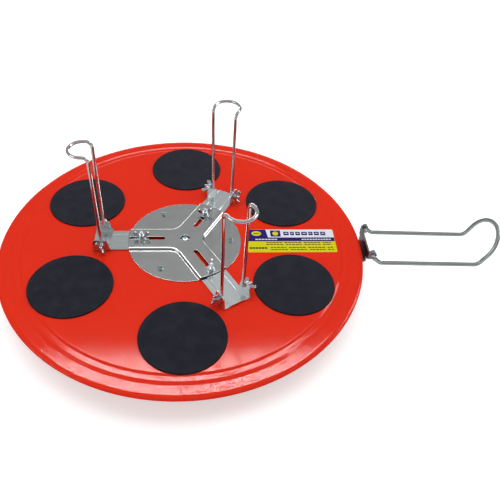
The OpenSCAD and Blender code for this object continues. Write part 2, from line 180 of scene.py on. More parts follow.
class Shader:
    """A material with one Principled shader and short calls to add nodes to it."""

    def __init__(self, name, **values):
        self.mat = bpy.data.materials.new(name)
        self.mat.use_nodes = True
        self.tree = self.mat.node_tree
        self.tree.nodes.clear()
        self.out = self.tree.nodes.new("ShaderNodeOutputMaterial")
        self.bsdf = self.tree.nodes.new("ShaderNodeBsdfPrincipled")
        self.tree.links.new(self.bsdf.outputs["BSDF"], self.out.inputs["Surface"])
        self.coords = self.tree.nodes.new("ShaderNodeTexCoord").outputs["Object"]
        self.set(**values)

    def set(self, **values):
        for key, value in values.items():
            self.feed(self.bsdf.inputs[key.replace("_", " ").title().replace("Ior", "IOR")], value)

    def feed(self, socket, value):
        if isinstance(value, bpy.types.NodeSocket):
            self.tree.links.new(value, socket)
        else:
            socket.default_value = value

    def add(self, kind, inputs=None, **props):
        node = self.tree.nodes.new("ShaderNode" + kind)
        for key, value in props.items():
            setattr(node, key, value)
        for key, value in (inputs or {}).items():
            self.feed(node.inputs[key], value)
        return node

    def noise(self, scale, detail=2.0, stretch=1.0, azimuth=0.0):
        """Noise drawn out along one azimuth by the factor stretch."""
        lay = {"Vector": self.coords, "Rotation": (0, 0, math.radians(azimuth)), "Scale": (stretch, 1, 1)}
        where = self.add("Mapping", lay, vector_type="TEXTURE").outputs["Vector"]
        inputs = {"Vector": where, "Scale": scale, "Detail": detail}
        return self.add("TexNoise", inputs).outputs["Fac"]

    def spread(self, value, low, high, out_low, out_high):
        inputs = {"Value": value, "From Min": low, "From Max": high, "To Min": out_low, "To Max": out_high}
        return self.add("MapRange", inputs).outputs["Result"]

    def mix(self, amount, first, second):
        node = self.add("Mix", data_type="RGBA")
        self.feed(node.inputs[0], amount)
        self.feed(node.inputs[6], first)
        self.feed(node.inputs[7], second)
        return node.outputs[2]

    def bump(self, height, strength, distance):
        inputs = {"Height": height, "Strength": strength, "Distance": distance}
        return self.add("Bump", inputs).outputs["Normal"]


def red_paint():
    """Red powder coat: matt colour under a clear coat that shines in fine grains."""
    s = Shader("red_paint", roughness=0.6, specular_ior_level=0.0)
    grain = s.noise(1000, 1.0)
    drift = s.noise(7, 2)
    s.set(base_color=s.mix(drift, lin(228, 45, 18), lin(220, 39, 16)))
    s.set(coat_weight=s.spread(grain, 0.45, 0.63, 0.05, 1), coat_roughness=0.08, coat_ior=1.5)
    normal = s.bump(grain, 0.16, 0.00012)
    s.set(normal=normal, coat_normal=normal)
    return s.mat


def pad_foam():
    """Matt black closed-cell foam."""
    s = Shader("pad_foam")
    cells = s.noise(1500, 3)
    cloud = s.noise(60, 3)
    s.set(base_color=s.mix(s.spread(cloud, 0.35, 0.65, 0, 1), lin(19, 21, 31), lin(27, 29, 41)))
    s.set(roughness=0.85, specular_ior_level=0.12)
    s.set(normal=s.bump(cells, 0.6, 0.0002))
    return s.mat


def rubber():
    """Matt black rubber with a faint grain."""
    s = Shader("rubber", roughness=0.7)
    s.set(base_color=s.mix(s.noise(40, 2), lin(22, 22, 24), lin(36, 36, 38)))
    s.set(normal=s.bump(s.noise(2500, 2), 0.3, 0.0001))
    return s.mat


def metal(name, dark, light, rough, scale=60, grain=900, strength=0.15, stretch=1.0, azimuth=0.0):
    """Metal whose colour and roughness drift a little, with a fine surface grain."""
    s = Shader(name, metallic=1.0)
    cloud = s.spread(s.noise(scale, 3, stretch, azimuth), 0.3, 0.7, 0, 1)
    s.set(base_color=s.mix(cloud, dark, light))
    s.set(roughness=s.spread(s.noise(scale * 3, 3, stretch, azimuth), 0.3, 0.7, rough - 0.01, rough + 0.01))
    s.set(normal=s.bump(s.noise(grain, 2, stretch, azimuth), strength, 0.00005))
    return s.mat


def brushed(name, lit_tone, azimuth=0.0):
    """Zinc-plated strip with fine lengthwise brush lines; its brightness is painted light, set per arm for
    the light falling on it.
    """
    spread, tint = 8, 7
    dark = lin(lit_tone - spread, lit_tone - spread + tint, lit_tone)
    light = lin(lit_tone, lit_tone + tint, lit_tone + spread)
    return metal(name, dark, light, 0.22, 500, 1400, 0.05, 25.0, azimuth)


def film(name, first, second):
    """Printed film with a faint sheen."""
    s = Shader(name, roughness=0.4, specular_ior_level=0.05)
    s.set(base_color=s.mix(s.noise(120, 3), first, second))
    s.set(coat_weight=0.03, coat_roughness=0.15)
    s.set(normal=s.bump(s.noise(400, 2), 0.1, 0.00005))
    return s.mat


# painted light: how light the zinc of each arm is made, out of 255, a lit or shaded copy per arm standing
# in for the light falling on it
ARM_PAINTED_LIGHT = (214, 228, 240)

MAT = {
    "red": red_paint(),
    "foam": pad_foam(),
    "rubber": rubber(),
    "plate": metal("plate_steel", lin(186, 188, 187), lin(194, 196, 195), 0.2, 40, strength=0.05),
    "strip": metal("bracket_zinc", lin(150, 153, 156), lin(162, 165, 168), 0.22, strength=0.05),
    "zinc": metal("bright_zinc", lin(184, 194, 200), lin(204, 212, 216), 0.2, strength=0.05),
    "screw": metal("screw_zinc", lin(150, 162, 162), lin(166, 176, 176), 0.34, strength=0.05),
    "wire": metal("handle_zinc", lin(178, 185, 185), lin(190, 197, 197), 0.22, strength=0.05),
    "chrome": metal("chrome", lin(206, 207, 210), lin(216, 217, 220), 0.06, strength=0.03),
    "bearing": metal("bearing_steel", lin(190, 192, 196), lin(215, 217, 220), 0.14),
    "brass": metal("cage_brass", lin(190, 150, 70), lin(214, 176, 96), 0.3),
    "yellow": film("film_yellow", lin(203, 196, 2), lin(211, 204, 6)),
    "white": film("film_white", lin(216, 216, 230), lin(226, 226, 238)),
    "purple": film("film_purple", lin(30, 8, 94), lin(36, 12, 102)),
    "ink": film("film_ink", lin(40, 36, 22), lin(50, 46, 28)),
}
# each arm gets its own lit or shaded copy of the zinc: painted light
for k, az in enumerate(ARM_AZ, 1):
    MAT[f"strip_{k}"] = brushed(f"strip_zinc_{k}", ARM_PAINTED_LIGHT[k - 1], az)


# ---------------------------------------------------------------- mesh helpers


def polar(radius, degrees):
    a = math.radians(degrees)
    return radius * math.cos(a), radius * math.sin(a)


def arc(centre, radius, start, stop, steps):
    """Points on an arc in the plane, start and stop in degrees."""
    out = []
    for i in range(steps + 1):
        x, y = polar(radius, start + (stop - start) * i / steps)
        out.append((centre[0] + x, centre[1] + y))
    return out


def circle(centre, radius, steps):
    """Points once round a circle, the first not repeated."""
    return arc(centre, radius, 0, 360 - 360 / steps, steps - 1)


def rounded(points, radii, steps=6):
    """A path whose inner corners are rounded to the given radii. Points have two or three numbers."""
    pts = [Vector(p) for p in points]
    out = [pts[0]]
    for i in range(1, len(pts) - 1):
        a, b, c = pts[i - 1], pts[i], pts[i + 1]
        u, v = (a - b).normalized(), (c - b).normalized()
        turn = math.acos(max(-1.0, min(1.0, u.dot(v))))
        r = radii[i - 1]
        if r <= 0 or turn > math.pi - 1e-3:
            out.append(b)
            continue
        cut = r / math.tan(turn / 2)
        centre = b + (u + v).normalized() * (r / math.sin(turn / 2))
        first, last = b + u * cut - centre, b + v * cut - centre
        sweep = math.pi - turn
        for k in range(steps + 1):
            t = k / steps
            w1 = math.sin((1 - t) * sweep) / math.sin(sweep)
            w2 = math.sin(t * sweep) / math.sin(sweep)
            out.append(centre + first * w1 + last * w2)
    out.append(pts[-1])
    return out


def new_object(name, bm, materials, place=None, angle=35):
    """Makes a smooth-shaded object from a bmesh in millimetres."""
    bmesh.ops.recalc_face_normals(bm, faces=bm.faces)
    mesh = bpy.data.meshes.new(name)
    bm.to_mesh(mesh)
    bm.free()
    mesh.transform(Matrix.Scale(MM, 4) if place is None else place @ Matrix.Scale(MM, 4))
    for m in materials:
        mesh.materials.append(m)
    smooth(mesh, angle)
    obj = bpy.data.objects.new(name, mesh)
    bpy.context.scene.collection.objects.link(obj)
    return obj


def smooth(mesh, angle=35):
    for p in mesh.polygons:
        p.use_smooth = True
    mesh.set_sharp_from_angle(angle=math.radians(angle))


def bake(obj):
    """Applies an object's modifiers, with shading normals that keep large faces flat."""
    for edge in obj.data.edges:
        edge.use_edge_sharp = False
    even = obj.modifiers.new("even", "WEIGHTED_NORMAL")
    even.weight = 60
    graph = bpy.context.evaluated_depsgraph_get()
    mesh = bpy.data.meshes.new_from_object(obj.evaluated_get(graph))
    obj.modifiers.clear()
    obj.data = mesh
    return obj


def bevel(obj, width, segments=2, angle=40):
    m = obj.modifiers.new("bevel", "BEVEL")
    m.width = width * MM
    m.segments = segments
    m.limit_method = "ANGLE"
    m.angle_limit = math.radians(angle)
    return obj


def ring_faces(bm, rings, closed_ring=True, closed_path=False):
    """Joins equal lists of vertices with quads."""
    n = len(rings[0])
    spans = len(rings) if closed_path else len(rings) - 1
    around = n if closed_ring else n - 1
    for i in range(spans):
        a, b = rings[i], rings[(i + 1) % len(rings)]
        for k in range(around):
            m = (k + 1) % n
            bm.faces.new((a[k], a[m], b[m], b[k]))


def revolve(bm, profile, segments=64, closed=True):
    """Turns a profile of (radius, height) points about Z. Points on the axis make a cap."""
    rings = []
    for s in range(segments):
        c, d = polar(1.0, 360.0 * s / segments)
        ring = []
        for r, z in profile:
            ring.append(bm.verts.new(Vector((r * c, r * d, z))))
        rings.append(ring)
    ring_faces(bm, rings, closed_ring=closed, closed_path=True)
    bmesh.ops.remove_doubles(bm, verts=[v for ring in rings for v in ring], dist=1e-4)


def sweep(bm, path, radius, sides=20, cap=0.45):
    """A round tube along a path, with slightly rounded ends. radius is a number or a function of length."""
    pts = [Vector(p) for p in path]
    size = radius if callable(radius) else (lambda length: radius)
    tangents = []
    for i in range(len(pts)):
        a, b = pts[max(0, i - 1)], pts[min(len(pts) - 1, i + 1)]
        tangents.append((b - a).normalized())
    side = tangents[0].orthogonal().normalized()
    rings, length = [], 0.0

    def ring(at, across, along, r):
        other = along.cross(across)
        out = []
        for k in range(sides):
            c, d = polar(r, 360.0 * k / sides)
            out.append(bm.verts.new(at + across * c + other * d))
        return out

    for i, p in enumerate(pts):
        if i:
            length += (p - pts[i - 1]).length
            side = (side - tangents[i] * side.dot(tangents[i])).normalized()
        r = size(length)
        if i == 0:
            rings.append(ring(p, side, tangents[i], r - cap))
            p = p + tangents[i] * cap
        if i == len(pts) - 1:
            rings.append(ring(p - tangents[i] * cap, side, tangents[i], r))
            r -= cap
        rings.append(ring(p, side, tangents[i], r))
    ring_faces(bm, rings)
    bm.faces.new(rings[0])
    bm.faces.new(rings[-1])


def slab(bm, outline, thick, place=None):
    """A flat plate: the outline in x and y, from z = 0 to thick."""
    low = [bm.verts.new(Vector((x, y, 0))) for x, y in outline]
    top = [bm.verts.new(Vector((x, y, thick))) for x, y in outline]
    bm.faces.new(low)
    bm.faces.new(top)
    ring_faces(bm, [low, top])
    if place:
        bmesh.ops.transform(bm, matrix=place, verts=low + top)


def extrude_section(bm, section, start, stop):
    """A closed section of (y, z) points pulled along x."""
    a = [bm.verts.new(Vector((start, y, z))) for y, z in section]
    b = [bm.verts.new(Vector((stop, y, z))) for y, z in section]
    bm.faces.new(a)
    bm.faces.new(b)
    ring_faces(bm, [a, b])


def adopt(obj, body, slot, *nodes):
    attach(obj, body)
    if nodes:
        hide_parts(*nodes)
    return obj


def frame_at(azimuth, radius, height):
    """Placement with x outward at an azimuth, z up, in metres."""
    x, y = polar(radius * MM, azimuth)
    return Matrix.Translation((x, y, height * MM)) @ Matrix.Rotation(math.radians(azimuth), 4, "Z")


ABOVE_DECK = Matrix.Translation((0, 0, DECK_TOP * MM))


# ---------------------------------------------------------------- deck


def make_deck():
    top = rounded(
        [
            (DECK_HOLE_R, 0),
            (STEP_R, 0),
            (RING_R, -RING_DROP),
            (SLOPE_R, -SLOPE_DROP),
            (SHOULDER_R, -SHOULDER_DROP),
            (RIM_R, -RIM_DROP),
        ],
        [STEP_ROUND, STEP_ROUND, STEP_ROUND, STEP_ROUND],
    )
    rim_z = -RIM_DROP - BEAD_R
    edge = []
    for i in range(1, 13):
        c, s = polar(1.0, 90 - 90 * i / 12)
        edge.append((RIM_R + (DECK_R - RIM_R) * c, rim_z + BEAD_R * s))
    edge += arc((DECK_R - BEAD_R, rim_z), BEAD_R, 0, -210, 24)[1:]
    under = [
        (SHOULDER_R - 0.4, -SHOULDER_DROP - DECK_SHEET),
        (SLOPE_R - 0.4, -SLOPE_DROP - DECK_SHEET),
        (RING_R - 0.8, -RING_DROP - DECK_SHEET),
        (STEP_R - 0.8, -DECK_SHEET),
        (DECK_HOLE_R, -DECK_SHEET),
    ]
    bm = bmesh.new()
    revolve(bm, [tuple(p) for p in top] + edge + under, segments=256)
    obj = new_object("deck_skin", bm, [MAT["red"]], ABOVE_DECK, angle=50)
    adopt(obj, "table", "red_paint", "deck")


def make_pad(i):
    low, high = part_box(f"pad_{i}")
    r = (high.x - low.x) / 2 / MM
    thick = (high.z - low.z) / MM
    top_soft, foot_soft, dish = 0.7, 0.3, 0.06
    profile = [(0, 0), (r - foot_soft, 0), (r, foot_soft)]
    profile += arc((r - top_soft, thick - top_soft), top_soft, 0, 90, 6)
    profile += [(r - 3.0, thick - dish / 2), (r - 8.0, thick - dish), (0, thick - dish)]
    bm = bmesh.new()
    revolve(bm, profile, segments=128, closed=False)
    centre = (low + high) / 2
    place = Matrix.Translation((centre.x, centre.y, low.z))
    obj = new_object(f"pad_skin_{i}", bm, [MAT["foam"]], place, angle=60)
    adopt(obj, "table", "pad_foam", f"pad_{i}")


# ---------------------------------------------------------------- label


def make_label():
    """A generic label: coloured blocks and plain dashes in place of lettering."""
    low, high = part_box("label")
    length, width, thick = [(high - low)[i] / MM for i in range(3)]
    bm = bmesh.new()
    layers = {"yellow": 0, "white": 1, "purple": 2, "ink": 3}
    lift = 0.012
    edge, corner = 0.3, 1.9

    def corner_box(u0, v0, u1, v1, r):
        pts = []
        for cu, cv, start in ((u1, v1, 0), (u0, v1, 90), (u0, v0, 180), (u1, v0, 270)):
            su = r if cu == u0 else -r
            sv = r if cv == v0 else -r
            pts += arc((cu + su, cv + sv), r, start, start + 90, 5)
        return pts

    def patch(outline, colour, level):
        z = thick + lift * level
        face = bm.faces.new([bm.verts.new(Vector((u, v, z))) for u, v in outline])
        face.material_index = layers[colour]

    def dash(u0, u1, v, half, colour, level):
        patch([(u0, v - half), (u1, v - half), (u1, v + half), (u0, v + half)], colour, level)

    def ellipse(u, v, run, rise, steps):
        return [(u + run * c, v + rise * s) for c, s in (polar(1, 360 / steps * k) for k in range(steps))]

    slab(bm, corner_box(0, 0, length, width, 2.0), thick)
    band_low, band_high = 0.47 * width, 0.64 * width
    head_top = width - edge
    # white head with a rounded far corner, and the purple band below it
    near_corner = arc((edge + corner, head_top - corner), corner, 90, 180, 5)
    head = [(edge, band_high), (length - edge, band_high)]
    head += arc((length - edge - corner, head_top - corner), corner, 0, 90, 5)
    head += near_corner
    patch(head, "white", 1)
    dash(edge, length - edge, (band_low + band_high) / 2, (band_high - band_low) / 2, "purple", 2)
    # purple block at the inner end with a slanted side, and a yellow oval on it
    patch([(edge, band_high), (28.0, band_high), (25.5, head_top)] + near_corner, "purple", 2)
    head_mid = (band_high + head_top) / 2
    oval_u = 13.0
    patch(ellipse(oval_u, head_mid, 6.4, 4.4, 36), "yellow", 3)
    patch(ellipse(oval_u, head_mid, 4.4, 0.9, 18), "purple", 4)
    # purple square with a yellow disc, then heavy dashes for a title
    dash(31.5, 45.0, head_mid, 6.0, "purple", 2)
    disc_u, disc_r = 38.2, 3.9
    patch(ellipse(disc_u, head_mid, disc_r, disc_r, 30), "yellow", 3)
    u = 49.0
    for size in (8.5, 6.5, 7.5, 9.0, 7.0, 8.0, 8.0):
        dash(u, u + size - 1.4, head_mid, 3.4, "purple", 2)
        dash(u + 1.6, u + size - 3.0, head_mid + 0.4, 0.7, "white", 3)
        u += size + 0.5
    # fine white dashes on the band
    band_mid = (band_low + band_high) / 2
    gap = 0.8
    for first, count, size in ((11.0, 7, 3.4), (72.0, 11, 2.8)):
        for k in range(count):
            u = first + k * (size + gap)
            dash(u, u + size, band_mid, 0.9, "white", 3)
    # rows of fine dark dashes on the yellow part: start, stop, share of the label's width
    rows = ((25.0, 110.0, 0.415), (25.0, 110.0, 0.33), (30.0, 112.0, 0.20), (30.0, 112.0, 0.11))
    for n, (start, stop, v) in enumerate(rows):
        u, k = start, 0
        while u < stop:
            size = 2.4 + 1.8 * abs(math.sin(2.3 * k + 1.7 * n))
            dash(u, min(u + size, stop), v * width, 0.8, "ink", 2)
            u += size + 0.9 + (2.5 if k % 5 == 4 else 0.0)
            k += 1
    # one short heavy row at the inner end
    first, pitch, size = 2.5, 3.9, 3.3
    for k in range(6):
        dash(first + pitch * k, first + size + pitch * k, 0.18 * width, 1.5, "ink", 2)
    mats = [MAT[name] for name in sorted(layers, key=layers.get)]
    place = Matrix.Translation((low.x, low.y, low.z))
    obj = new_object("label_skin", bm, mats, place, angle=20)
    adopt(obj, "table", "label_film", "label")


# ---------------------------------------------------------------- centre plate


def tunnel_contour(half, sector):
    """Edge between a flat sector and the tunnels beside it, at a given tunnel half width."""
    far = (TUNNEL_HALF + TUNNEL_FILLET) / math.sin(math.radians(60))
    fillet = TUNNEL_HALF + TUNNEL_FILLET - half
    out = math.sqrt(PLATE_R**2 - half**2)
    bar = Vector(polar(1.0, 60))
    normal = Vector((bar.y, -bar.x))
    start = bar * out + normal * half
    pts = [start] + [Vector(p) for p in arc((far, 0), fillet, 150, 210, 24)]
    pts.append(Vector((start.x, -start.y)))
    turn = Matrix.Rotation(math.radians(sector), 2)
    return [turn @ p for p in pts]


def make_centre_plate():
    bm = bmesh.new()
    foot = arc((TUNNEL_HALF + FOOT_ROUND, PLATE_T + FOOT_ROUND), FOOT_ROUND, -90, -180, 5)
    crown = []
    for k in range(9):
        c, d = polar(1.0, 90 * k / 8)
        crown.append((TUNNEL_HALF - TOP_RUN + TOP_RUN * c, TUNNEL_H - TOP_FALL + TOP_FALL * d))
    section = foot + crown
    top_edges = []

    def loop(points, z):
        verts = [bm.verts.new(Vector((x, y, z))) for x, y in points]
        return [bm.edges.new((verts[i], verts[(i + 1) % len(verts)])) for i in range(len(verts))]

    def chain(verts):
        out = []
        for a, b in zip(verts, verts[1:]):
            out.append(bm.edges.get((a, b)) or bm.edges.new((a, b)))
        return out

    mouths = []
    for sector in SCREW_AZ:
        rings = []
        for half, z in section:
            rings.append([bm.verts.new(Vector((p.x, p.y, z))) for p in tunnel_contour(half, sector)])
        ring_faces(bm, rings, closed_ring=False)
        low, top = rings[0], rings[-1]
        reach = math.degrees(math.atan2(low[0].co.y, low[0].co.x)) - sector
        reach = (reach + 180) % 360 - 180
        rim = [bm.verts.new(Vector((x, y, PLATE_T)))
               for x, y in arc((0, 0), PLATE_R, sector + reach, sector - reach, 40)[1:-1]]
        flat = chain([low[0]] + rim + [low[-1]]) + chain(low)
        cx, cy = polar(SCREW_RING, sector)
        flat += loop(circle((cx, cy), SCREW_HOLE_R, 32), PLATE_T)
        bmesh.ops.triangle_fill(bm, use_beauty=True, use_dissolve=False, edges=flat)
        top_edges += chain(top)
        mouths.append((top[0], top[-1]))
    for k, arm_az in enumerate((60.0, 180.0, 300.0)):
        a, b = mouths[k][0], mouths[(k + 1) % 3][1]
        reach = math.degrees(math.atan2(a.co.y, a.co.x)) - arm_az
        reach = (reach + 180) % 360 - 180
        verts = [bm.verts.new(Vector((x, y, TUNNEL_H)))
                 for x, y in arc((0, 0), PLATE_R, arm_az + reach, arm_az - reach, 10)[1:-1]]
        top_edges += chain([a] + verts + [b])
    for arm_az in ARM_AZ:
        stadium = arc((SLOT_OUT - SLOT_HALF, 0), SLOT_HALF, -90, 90, 12)
        stadium += arc((SLOT_IN + SLOT_HALF, 0), SLOT_HALF, 90, 270, 12)
        turn = Matrix.Rotation(math.radians(arm_az), 2)
        top_edges += loop([tuple(turn @ Vector(p)) for p in stadium], TUNNEL_H)
    top_edges += loop(circle((0, 0), CENTRE_HOLE_R, 48), TUNNEL_H)
    bmesh.ops.triangle_fill(bm, use_beauty=True, use_dissolve=False, edges=top_edges)
    obj = new_object("plate_skin", bm, [MAT["plate"]], ABOVE_DECK)
    if obj.data.polygons[0].normal.z < 0 and max(p.normal.z for p in obj.data.polygons) < 0.5:
        obj.data.flip_normals()
    shell = obj.modifiers.new("sheet", "SOLIDIFY")
    shell.thickness = PLATE_T * MM
    shell.offset = -1
    bevel(obj, PLATE_SOFT, 3, 55)
    bake(obj)
    adopt(obj, "table", "plate_steel", "centre_plate")


def pan_head(bm, head_r, head_h, shank_r, shank_len):
    """A pan-head screw whose head stands on z = 0."""
    side = head_h * 0.55
    profile = [(0, -shank_len), (shank_r, -shank_len), (shank_r, 0), (head_r - 0.2, 0), (head_r, 0.2)]
    profile += [(head_r, side)]
    crown = 8
    for i in range(1, crown + 1):
        c, s = polar(1.0, 90 * i / crown)
        profile.append((head_r * (0.45 + 0.55 * c), side + (head_h - side) * s))
    profile += [(head_r * 0.2, head_h), (0, head_h)]
    revolve(bm, profile, 48, closed=False)


def make_screw(name, node, body, size, place):
    """A pan-head screw with a cross recess cut into its crown."""
    head_r, head_h, shank_r, shank_len = size
    bm = bmesh.new()
    pan_head(bm, head_r, head_h, shank_r, shank_len)
    obj = new_object(name, bm, [MAT["screw"]], place)
    cross = bmesh.new()
    half, arm = head_r * 0.11, head_r * 0.56
    floor = Matrix.Translation((0, 0, head_h * 0.45))
    for turn in (0, 90):
        slot_place = Matrix.Rotation(math.radians(turn), 4, "Z") @ floor
        slab(cross, [(-arm, -half), (arm, -half), (arm, half), (-arm, half)], head_h, slot_place)
    cutter = new_object(name + "_cross", cross, [MAT["screw"]], place)
    cut = obj.modifiers.new("cross", "BOOLEAN")
    cut.operation = "DIFFERENCE"
    cut.object = cutter
    cut.solver = "EXACT"
    cut.use_self = True
    bake(obj)
    bpy.data.objects.remove(cutter)
    adopt(obj, body, "zinc_steel", node)


def make_screws():
    for i, az in enumerate(SCREW_AZ, 1):
        place = frame_at(az, SCREW_RING, DECK_TOP + PLATE_T)
        make_screw(f"plate_screw_skin_{i}", f"plate_screw_{i}", "table", PLATE_SCREW, place)
    place = Matrix.Translation((0, 0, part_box("retaining_washer")[1].z))
    make_screw("centre_screw_skin", "centre_screw", "base", CENTRE_SCREW, place)


# ---------------------------------------------------------------- arms


def arm_place(i):
    """Frame at the arm's outer end: x outward, z up from the deck's top face."""
    pivot = Vector(JOINTS[f"upright_{i}_fold"]["pos_m"])
    azimuth = math.degrees(math.atan2(pivot.y, pivot.x))
    radius = math.hypot(pivot.x, pivot.y) / MM + PIVOT_BACK
    return frame_at(azimuth, radius, DECK_TOP)


def strip_section(half):
    """Section of the arm strip: flat edges, a raised middle between two soft steps."""
    right = [(half, STRIP_LIFT + STRIP_T)]
    for k in range(7):
        t = k / 6
        y = RIB_HALF + RIB_STEP / 2 - RIB_STEP * t
        right.append((y, STRIP_LIFT + STRIP_T + RIB_RISE * (3 * t * t - 2 * t**3)))
    upper = right + [(-y, z) for y, z in reversed(right)]
    lower = [(y, z - STRIP_T) for y, z in reversed(upper)]
    return upper + lower


def ear_outline():
    """Ear seen from its side: x along the arm, y is height."""
    pts = [(-EAR_LEN, EAR_BASE), (-0.2, EAR_BASE)]
    pts += arc((-EAR_FRONT_IN - EAR_CORNER, EAR_H - EAR_CORNER), EAR_CORNER, 0, 90, 8)
    pts += arc((-EAR_LEN + EAR_BACK_IN + EAR_CORNER, EAR_H - EAR_CORNER), EAR_CORNER, 90, 180, 8)
    return pts


def make_arm(i):
    bm = bmesh.new()
    bend_r = EAR_OUT - EAR_IN + 0.6
    inner_r = bend_r - STRIP_T
    bend_y = EAR_OUT - bend_r
    extrude_section(bm, strip_section(STRIP_HALF), -STRIP_LEN, -EAR_LEN + 1)
    extrude_section(bm, strip_section(bend_y), -EAR_LEN + 1, 0)
    for side in (1, -1):
        bend = arc((bend_y, STRIP_LIFT + bend_r), bend_r, -90, 0, 6)
        bend += arc((bend_y, STRIP_LIFT + bend_r), inner_r, 0, -90, 6)
        extrude_section(bm, [(side * y, z) for y, z in bend], -EAR_LEN, -0.1)
        face = Matrix.Translation((0, EAR_IN if side > 0 else -EAR_OUT, 0)) @ Matrix(
            ((1, 0, 0, 0), (0, 0, 1, 0), (0, 1, 0, 0), (0, 0, 0, 1))
        )
        slab(bm, ear_outline(), EAR_OUT - EAR_IN, face)
    obj = new_object(f"arm_skin_{i}", bm, [MAT[f"strip_{i}"]], arm_place(i))
    bevel(obj, 0.28, 2, 50)
    bake(obj)
    adopt(obj, f"arm_{i}", "zinc_steel", f"arm_{i}")


def threaded(base, pitch, depth):
    """Radius of a threaded wire along its length."""
    return lambda length: base - depth * (0.5 - 0.5 * math.cos(2 * math.pi * length / pitch))


def make_clamp(i):
    place = arm_place(i) @ Matrix.Translation((-STUD_BACK * MM, 0, 0))
    bm = bmesh.new()
    low, high = STRIP_LIFT, STRIP_LIFT + STUD_HEAD_H
    revolve(bm, [(0, low), (STUD_HEAD_R, low), (STUD_HEAD_R, high), (STUD_CORE_R, high)], 40, False)
    start = STRIP_LIFT + 1.0
    steps = 90
    path = [(0, 0, start + (STUD_TOP - start) * k / steps) for k in range(steps + 1)]
    sweep(bm, path, threaded(STUD_R, STUD_PITCH, STUD_THREAD), 24)
    obj = new_object(f"clamp_stud_skin_{i}", bm, [MAT["zinc"]], place)
    adopt(obj, f"arm_{i}", "zinc_steel", f"clamp_stud_{i}")
    bm = bmesh.new()
    low, high = TUNNEL_H + WASHER_GAP, TUNNEL_H + WASHER_T + WASHER_GAP
    soft = 0.25
    profile = [(WASHER_BORE, low), (WASHER_R - soft, low), (WASHER_R, low + soft), (WASHER_R, high - soft)]
    profile += [(WASHER_R - soft, high), (WASHER_BORE, high)]
    revolve(bm, profile, 48)
    obj = new_object(f"clamp_washer_skin_{i}", bm, [MAT["zinc"]], place)
    adopt(obj, f"arm_{i}", "zinc_steel", f"clamp_washer_{i}")


# ---------------------------------------------------------------- wing nuts


def wing_nut_mesh(name, bore):
    """One cast wing nut standing on z = 0 with its wings along x."""
    bm = bmesh.new()
    revolve(bm, [(bore, 0), (NUT_BOSS_R, 0), (NUT_BOSS_TOP_R, NUT_BOSS_H), (bore, NUT_BOSS_H)], 64)
    tip = (WING_SPAN - WING_TIP_R, WING_H - WING_TIP_R)
    outline = WING_ROOT + arc(tip, WING_TIP_R, *WING_TIP_ARC, 12) + WING_NECK
    for side in (0, 180):
        stand = Matrix.Rotation(math.radians(side), 4, "Z") @ Matrix.Translation((0, WING_T / 2, 0))
        stand = stand @ Matrix.Rotation(math.radians(90), 4, "X")
        slab(bm, outline, WING_T, stand)
    obj = new_object(name, bm, [MAT["zinc"]])
    cast = obj.modifiers.new("cast", "REMESH")
    cast.mode = "VOXEL"
    cast.voxel_size = 0.28 * MM
    soft = obj.modifiers.new("soft", "SMOOTH")
    soft.factor = 0.6
    soft.iterations = 7
    thin = obj.modifiers.new("thin", "DECIMATE")
    thin.ratio = 0.45
    bake(obj)
    mesh = obj.data
    bpy.data.objects.remove(obj)
    return mesh


NUT_MESH = {
    "slot": wing_nut_mesh("slot_wing_nut", STUD_R + NUT_PLAY),
    "ear": wing_nut_mesh("ear_wing_nut", WIRE_R + NUT_PLAY),
}


def place_nut(name, node, body, kind, place):
    mesh = NUT_MESH[kind].copy()
    mesh.transform(place)
    obj = bpy.data.objects.new(name, mesh)
    bpy.context.scene.collection.objects.link(obj)
    adopt(obj, body, "zinc_steel", node)


def spin(axis, degrees):
    return Matrix.Rotation(math.radians(degrees), 4, axis)


def make_nuts(i):
    base = arm_place(i)
    height = (TUNNEL_H + WASHER_T + NUT_GAP) * MM
    place = base @ Matrix.Translation((-STUD_BACK * MM, 0, height)) @ spin("Z", SLOT_NUT_TURN[i - 1])
    place_nut(f"slot_nut_skin_{i}", f"slot_nut_{i}", f"slot_nut_{i}", "slot", place)
    pivot = base @ Matrix.Translation((-PIVOT_BACK * MM, 0, PIVOT_H * MM))
    for side, letter, turn in ((1, "a", EAR_NUT_TURN[i - 1][0]), (-1, "b", EAR_NUT_TURN[i - 1][1])):
        place = pivot @ spin("Y", -turn) @ spin("X", -90 * side)
        place = place @ Matrix.Translation((0, 0, EAR_NUT_Y * MM))
        node = f"ear_nut_{i}{letter}"
        place_nut(f"ear_nut_skin_{i}{letter}", node, node, "ear", place)


# ---------------------------------------------------------------- uprights


def upright_path():
    """Centre line of one bent wire, from one threaded end to the other."""
    loop_x = LOOP_OUT - LOOP_R
    half = rounded(
        [(0, -WIRE_END_Y, 0), (0, -LEG_Y, 0), (0, -LOOP_R, LOOP_TOP), (loop_x, -LOOP_R, LOOP_TOP)],
        [PIN_BEND, TOP_BEND],
        10,
    )
    loop = [Vector((loop_x + x, y, LOOP_TOP)) for x, y in arc((0, 0), LOOP_R, -90, 90, 32)][1:-1]
    other = [Vector((p.x, -p.y, p.z)) for p in reversed(half)]
    return half + loop + other


def fine(path, step):
    """The same path with no straight stretch longer than step."""
    out = [path[0]]
    for a, b in zip(path, path[1:]):
        n = max(1, math.ceil((b - a).length / step))
        out += [a.lerp(b, k / n) for k in range(1, n + 1)]
    return out


def make_upright(i):
    path = upright_path()
    total = sum((b - a).length for a, b in zip(path, path[1:]))
    pin = WIRE_END_Y - EAR_OUT - 0.3
    thread = threaded(WIRE_R, WIRE_PITCH, WIRE_THREAD)
    step = 0.12
    path = fine(path[:2], step)[:-1] + path[1:-2] + fine(path[-2:], step)

    def radius(length):
        near = min(length, total - length)
        return thread(near) if near < pin else WIRE_R

    bm = bmesh.new()
    sweep(bm, path, radius, 20)
    place = arm_place(i) @ Matrix.Translation((-PIVOT_BACK * MM, 0, PIVOT_H * MM))
    obj = new_object(f"upright_skin_{i}", bm, [MAT["chrome"]], place, angle=60)
    adopt(obj, f"upright_{i}", "chrome_wire", f"upright_{i}")


# ---------------------------------------------------------------- handle


